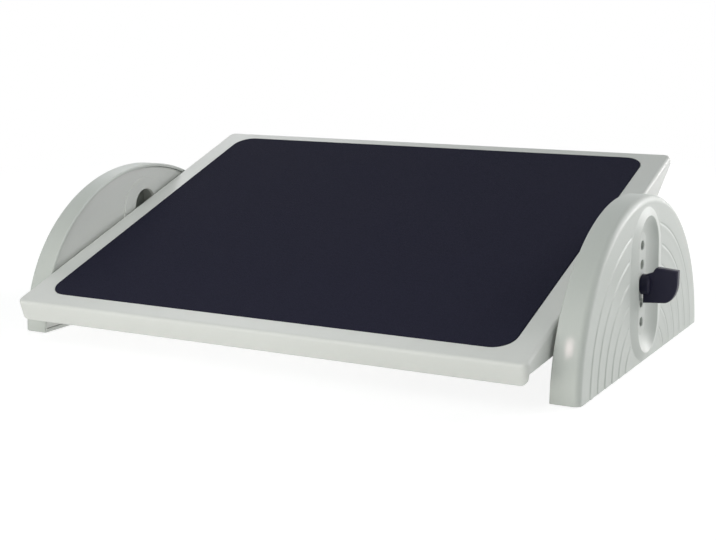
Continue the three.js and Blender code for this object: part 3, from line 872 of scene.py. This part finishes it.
# Knobs: a round hub that widens into a flat upright blade for two fingers, in dark navy plastic.
# Each is moulded round its lock pin and stands out of the middle hole.
hub_radius = 0.0082
hub_length = 0.008
blade_reach = 0.0292
blade_top = 0.0145
blade_top_outer = 0.0132
blade_bottom = 0.0146
blade_bottom_outer = 0.0134
blade_top_start = 0.0128
blade_bottom_start = 0.0019
blade_corner_width = 0.0108
blade_corner_height = 0.0174
blade_shoulder_start = 0.0093
blade_shoulder = 0.0104
blade_neck = 0.0076
blade_half_thickness = 0.0035
blade_edge = 0.0012
blade_edge_steps = 5
blade_steps = 24
shoulder_steps = 8
hub_inner_edge = 0.0006
hub_outer_edge = 0.0015
pin_embedded = 0.007
knob_tone = (0.0094, 0.0085, 0.0270, 1)
knob_start = stand_inner + stand_thickness - recess_depth - hole_height * stand_draft + fit_gap


def chamfered(low, high, radius, first, last):
    """The profile of a rod with a chamfer at its first and its last end."""
    return [(low, radius - first), (low + first, radius), (high - last, radius), (high, radius - last)]


blade_outline = [(blade_bottom_start, -blade_bottom)]
blade_outline += [
    (blade_reach - blade_corner_width * inward, -blade_bottom_outer + blade_corner_height * up)
    for inward, up in rounding(1, blade_steps)]
blade_outline.append((blade_reach, blade_top_outer))
for step in range(shoulder_steps + 1):
    share = step / shoulder_steps
    blade_outline.append((between(blade_top_start, blade_shoulder_start, share),
                          between(blade_top, blade_shoulder, share * share)))
blade_outline.append((blade_bottom_start, blade_neck))
blade = bar("blade", [(knob_start + x, pivot.z + z) for x, z in blade_outline],
            pivot.y - blade_half_thickness, pivot.y + blade_half_thickness, "Y")
shape = bmesh.new()
shape.from_mesh(blade.data)
rims = [edge for edge in shape.edges if abs(edge.verts[0].co.y - edge.verts[1].co.y) < blade_edge]
bmesh.ops.bevel(shape, geom=rims, offset=blade_edge, segments=blade_edge_steps, profile=0.5, affect="EDGES")
shape.to_mesh(blade.data)
shape.free()
hub_profile = chamfered(knob_start, knob_start + hub_length, hub_radius, hub_inner_edge, hub_outer_edge)
knob = turned("right_knob", hub_profile, (pivot.y, pivot.z), 64)
combine(knob, [blade], "UNION")
pin_bore = even(hole_radius, knob_start - hub_length, knob_start + pin_embedded)
combine(knob, [turned("pin_bore", pin_bore, (pivot.y, pivot.z))])
knob_plastic = moulded("knob_plastic", knob_tone, 0.36, 0.0006, 0.00004, 0.25)
hand_over_pair(knob, knob_plastic, "right_knob", "right_height_knob")


# Inner covers: grey moulded plates that close the stands towards the tray, each held by four screws.
# A long lobe is raised round the slot in which the slide block runs.
lobe_height = 0.0009
lobe_half_width = 0.033
lobe_half_length = 0.058
lobe_edge = 0.0005
slot_half_width = 0.0154
slot_edge = 0.0007
cover_gap = 0.0003
screw_head_sink = 0.0033
screw_head_height = 0.0014
cover_edge = 0.0003
cut_reach = 0.004
inner_tone = (0.670, 0.682, 0.665, 1)


def level_ring(across, points):
    """A ring of depths and heights in the right stand, upright and not leaning with its outer face."""
    return [Vector((stand_inner + across, pivot.y + y, z)) for y, z in points]


def soft_ends(low, high, edge):
    """Places and insets for the rings of a piece whose ends are rounded."""
    rows = rounding(edge, 3)
    ends = [(low + along, inset) for inset, along in rows]
    return ends + [(high - along, inset) for inset, along in rows[::-1]]


cover_rim = stand_wall + cover_gap
cover_floor = stand_base + stand_wall + cover_gap
cover = skin("right_cover", [level_ring(across, arch(cover_rim + inset, cover_floor + inset))
                             for across, inset in soft_ends(cover_inset, cover_back, cover_edge)])
lobe_top = cover_inset - lobe_height
lobe_rows = [(lobe_top + along, inset) for inset, along in rounding(lobe_edge, 3)] + [(cover_back, 0)]
lobe = skin("lobe", [level_ring(across, stadium(lobe_half_width - inset, lobe_half_length - inset, 48))
                     for across, inset in lobe_rows])
slot_half_length = slot_half_width + (hole_count - 1) / 2 * hole_pitch
slot_rows = [(lobe_top - cut_reach, slot_edge)]
slot_rows += [(lobe_top + along, grow) for grow, along in rounding(slot_edge, 4)]
slot_rows.append((cover_back + cut_reach, 0))
cuts = [skin("slot", [level_ring(across, stadium(slot_half_width + grow, slot_half_length + grow, 40))
                      for across, grow in slot_rows])]
for y, z in cover_screw_places:
    sink = even(screw_head_sink, -cut_reach, cover_inset + screw_head_height + cover_gap)
    cuts.append(round_in_stand("screw_sink", sink, y, z, 32))
    way = even(cover_screw_hole, -cut_reach, cover_back + cut_reach)
    cuts.append(round_in_stand("screw_way", way, y, z, 20))
combine(cover, [lobe], "UNION")
combine(cover, cuts)
inner_plastic = moulded("inner_plastic", inner_tone, 0.46)
hand_over_pair(cover, inner_plastic, "stands", "right_inner_cover")


# Slide blocks: milled blocks of natural nylon that run up and down behind the covers.
# Inside each is the bearing of a tilt axle, outside an open notch that sits on the lock pin.
block_half_size = 0.018
block_corner = 0.005
block_outer = 0.0147
block_edge = 0.0004
neck_start = lobe_top + fit_gap
axle_end = 0.0089
notch_start = 0.0102
retaining_place = 0.006
retaining_offset = 0.0058
retaining_hole = 0.0013
neck_root = 0.001
notch_drop = 0.025
nylon_tone = (0.76, 0.73, 0.65, 1)

block_start = cover_back + fit_gap
block_rings = []
for across, inset in soft_ends(block_start, block_outer, block_edge):
    half = block_half_size - inset
    block_rings.append(level_ring(across, rounded_rectangle(
        -half, half, pivot.z - half, pivot.z + half, block_corner - inset)))
slide_block = skin("right_slide_block", block_rings)
neck_radius = slot_half_width - fit_gap
neck_profile = [(neck_start, neck_radius - block_edge), (neck_start + block_edge, neck_radius),
                (block_start + neck_root, neck_radius)]
combine(slide_block, [round_in_stand("neck", neck_profile, 0, pivot.z, 72)], "UNION")
bearing_profile = even(axle_bore + block_edge, -cut_reach, neck_start)
bearing_profile += even(axle_bore, neck_start + block_edge, axle_end)
bearing = round_in_stand("bearing", bearing_profile, 0, pivot.z, 56)
notch_ends = (notch_start, block_outer + cut_reach)
notch = round_in_stand("notch", even(hole_radius, *notch_ends), 0, pivot.z)
notch_outline = corners(-hole_radius, hole_radius, pivot.z - notch_drop, pivot.z)
notch_mouth = skin("notch_mouth", [level_ring(end, notch_outline) for end in notch_ends])


def upright_rod(name, radius, half_length, edge, steps=24):
    """A round rod upright beside the tilt axle, where its groove is."""
    turns = [2 * math.pi * step / steps for step in range(steps)]
    centre = Vector((stand_inner + retaining_place, pivot.y + retaining_offset, pivot.z))
    rings = []
    for z, inset in soft_ends(-half_length, half_length, edge):
        reach = radius - inset
        rings.append([centre + Vector((reach * math.cos(turn), reach * math.sin(turn), z))
                      for turn in turns])
    return skin(name, rings)


retaining_way = upright_rod("retaining_way", retaining_hole, block_half_size + cut_reach, block_edge)
combine(slide_block, [bearing, notch, notch_mouth, retaining_way])
nylon = moulded("nylon", nylon_tone, 0.5, 0.0004, 0.00002, 0.5)
hand_over_pair(slide_block, nylon, "carriage", "right_slide_block")


# Friction washers: punched nylon rings on the axles between the tray's cheeks and the slide blocks.
# They keep the tray from knocking on the stands and brake its tilt.
washer_radius = 0.013
washer_edge = 0.0003
washer_ends = (tray_half_width + fit_gap, stand_inner + neck_start - fit_gap)
washer_rows = soft_ends(*washer_ends, washer_edge)
washer_profile = [(x, washer_radius - inset) for x, inset in washer_rows]
washer_profile += [(x, axle_bore + inset) for x, inset in washer_rows[::-1]]
washer = turned("right_washer", washer_profile, steps=64, capped=False)
washer.data.transform(tray_place)
hand_over_pair(washer, nylon, "platform", "right_friction_washer")


# Tilt axles: turned steel shafts with a flange, screwed to the bosses inside the tray's cheeks.
# They are zinc plated, and a groove near the end takes the retaining pin.
axle_radius = 0.006
axle_reach = 0.0086
axle_groove_radius = 0.0045
axle_groove_half_width = 0.0013
axle_flange = 0.0025
axle_flange_radius = 0.0115
axle_edge = 0.0004
steel_tone = (0.62, 0.63, 0.66, 1)


def plated(name, tone, rough, line_size):
    """Zinc-plated steel: dull metal with fine tool marks across X and a finish that wanders."""
    material, start, place = new_material(name)
    along = start.node("ShaderNodeSeparateXYZ", sockets={"Vector": place})
    marks = start.node("ShaderNodeTexNoise", {"noise_dimensions": "1D"},
                       {"W": along * (1 / line_size), "Scale": 1.0, "Detail": 3.0})
    clouds = noise(start, place, 160.0, 4.0)
    finish = clouds * 0.16 + marks * 0.10 + (rough - 0.12)
    shade(start, clouds, tinted(tone, 0.82), tone, (0.25, 0.00002, marks),
          {"Metallic": 1.0, "Roughness": finish})
    return material


steel = plated("steel", steel_tone, 0.32, 0.00018)
axle_seat = boss_inner - fit_gap
axle_face = axle_seat - axle_flange
groove_low = stand_inner + retaining_place - axle_groove_half_width
groove_high = stand_inner + retaining_place + axle_groove_half_width
axle_tip = stand_inner + axle_reach
axle_profile = [
    *chamfered(axle_face, axle_seat, axle_flange_radius, axle_edge, axle_edge),
    *even(axle_radius, axle_seat, groove_low),
    *even(axle_groove_radius, groove_low, groove_high),
    *even(axle_radius, groove_high, axle_tip - axle_edge),
    (axle_tip, axle_radius - axle_edge),
]
axle = turned("right_tilt_axle", axle_profile, steps=72)
axle_ways = even(axle_screw_hole, axle_face - cut_reach, axle_seat + cut_reach)
combine(axle, [turned("screw_way", axle_ways, (y, 0), 20) for y in (-axle_screw_circle, axle_screw_circle)])
axle.data.transform(tray_place)
hand_over_pair(axle, steel, "platform", "right_tilt_axle")


# Retaining pins: plain drawn steel wire, pushed down through the slide blocks past the axles' grooves.
# They keep the axles from sliding out of their bearings.
retaining_radius = 0.001
retaining_half_length = 0.017
retaining_edge = 0.0003
retaining_pin = upright_rod("right_retaining_pin", retaining_radius, retaining_half_length, retaining_edge)
hand_over_pair(retaining_pin, steel, "carriage", "right_retaining_pin")


# Lock pins: turned steel pins moulded into the knobs, with a chamfered tip.
# Each goes through the stand's wall into the notch of the slide block and carries the tray.
lock_radius = 0.0035
lock_chamfer = 0.0008
lock_edge = 0.0003
lock_tip = stand_inner + notch_start + fit_gap
lock_end = knob_start + pin_embedded - fit_gap
lock_profile = chamfered(lock_tip, lock_end, lock_radius, lock_chamfer, lock_edge)
lock_pin = turned("right_lock_pin", lock_profile, (pivot.y, pivot.z))
hand_over_pair(lock_pin, steel, "right_knob", "right_lock_pin")


# Feet: soft rubber pads pressed into pockets under the ends of the stands.
# Their rims are rounded and their soles stay flat on the floor.
foot_edge = 0.0005
foot_top = stand_base + foot_seat - fit_gap
foot_tone = (0.020, 0.020, 0.022, 1)


def rubber(name, tone, rough):
    """A smooth moulded rubber with a dusty, uneven finish."""
    material, start, place = new_material(name)
    dust = noise(start, place, 60.0, 6.0)
    grain = noise(start, place, 2500.0, 2.0)
    shade(start, dust, tone, tinted(tone, 1.6), (0.3, 0.00003, grain),
          {"Roughness": dust * 0.12 + (rough - 0.06), "IOR": 1.45})
    return material


foot_rubber = rubber("foot_rubber", foot_tone, 0.8)
for end, place in (("front", -foot_place), ("rear", foot_place)):
    name = "right_" + end + "_foot"
    foot = skin(name, [foot_ring(-inset, place, height)
                       for height, inset in soft_ends(0, foot_top, foot_edge)])
    hand_over_pair(foot, foot_rubber, "stands", name)


# Screws: zinc-plated pan heads with a cross recess, eight in the covers and four in the axles' flanges.
# Each stands at its own chance angle, as a driver leaves it.
cover_screw = {"head": 0.003, "height": 0.0014, "shank": 0.0014, "length": 0.0107}
axle_screw = {"head": 0.0022, "height": 0.0013, "shank": 0.0011,
              "length": 0.0013 + fit_gap + axle_flange + axle_screw_reach}
cross_depth = 0.0008
cross_arm = 0.5
cross_half_width = 0.12
thread_pitch = 0.0009
thread_depth = 0.00022
cover_screw_seed = 7
axle_screw_seed = 11


def screw(name, head, height, shank, length):
    """A screw with its head's face at zero and its shank along +X."""
    profile = [(0, 0.55 * head), (0.12 * height, 0.82 * head), (0.4 * height, head), (height, head),
               (height, shank)]
    place = height + thread_pitch
    while place + thread_pitch < length - shank:
        profile += [(place, shank - thread_depth), (place + thread_pitch / 2, shank)]
        place += thread_pitch
    profile += [(length - shank, shank - thread_depth), (length, 0.25 * shank)]
    piece = turned(name, profile, steps=28)
    for long_way, short_way in ((cross_arm, cross_half_width), (cross_half_width, cross_arm)):
        outline = corners(-long_way * head, long_way * head, -short_way * head, short_way * head)
        combine(piece, [bar("arm", outline, -cross_depth, cross_depth, "X")])
    return piece


screws, start, (points, driven, seed, paint) = new_tree(
    "screws_at_points", Points="Geometry", Screw="Object", Seed="Int", Material="Material")
across = start.node("ShaderNodeSeparateXYZ", sockets={0: start.node("GeometryNodeInputPosition")})
spin = start.node("FunctionNodeRandomValue", sockets={2: 0.0, 3: 2 * math.pi, 8: seed}, output=1)
half_turn = across.math("LESS_THAN", across, 0.0) * math.pi
angles = start.node("ShaderNodeCombineXYZ", sockets={0: spin, 2: half_turn})
pattern = start.node("GeometryNodeObjectInfo", sockets={"Object": driven}, output="Geometry")
set_down(start, paint, {"Points": points, "Instance": pattern, "Rotation": angles})


def set_screws(name, sizes, places, seed):
    """One piece made of equal screws at places given for the right-hand side."""
    piece = mesh_piece(name, [(side * x, y, z) for side in (1, -1) for x, y, z in places], [])
    pattern = screw(name + "_pattern", **sizes)
    drive(piece, screws, screw=pattern, seed=seed, material=steel)
    bpy.data.objects.remove(pattern)
    return piece


cover_screws = set_screws("cover_screws", cover_screw, [
    (stand_inner + cover_inset, pivot.y + y, z) for y, z in cover_screw_places], cover_screw_seed)
hand_over(cover_screws, steel, "stands", [
    side + "_" + end + "_" + level + "_cover_screw"
    for side in ("right", "left") for end in ("front", "rear") for level in ("lower", "upper")])
axle_screws = set_screws("axle_screws", axle_screw, [
    (axle_face - fit_gap - axle_screw["height"], y, 0) for y in (-axle_screw_circle, axle_screw_circle)],
    axle_screw_seed)
axle_screws.data.transform(tray_place)
hand_over(axle_screws, steel, "platform", [
    side + "_" + level + "_axle_screw" for side in ("right", "left") for level in ("upper", "lower")])
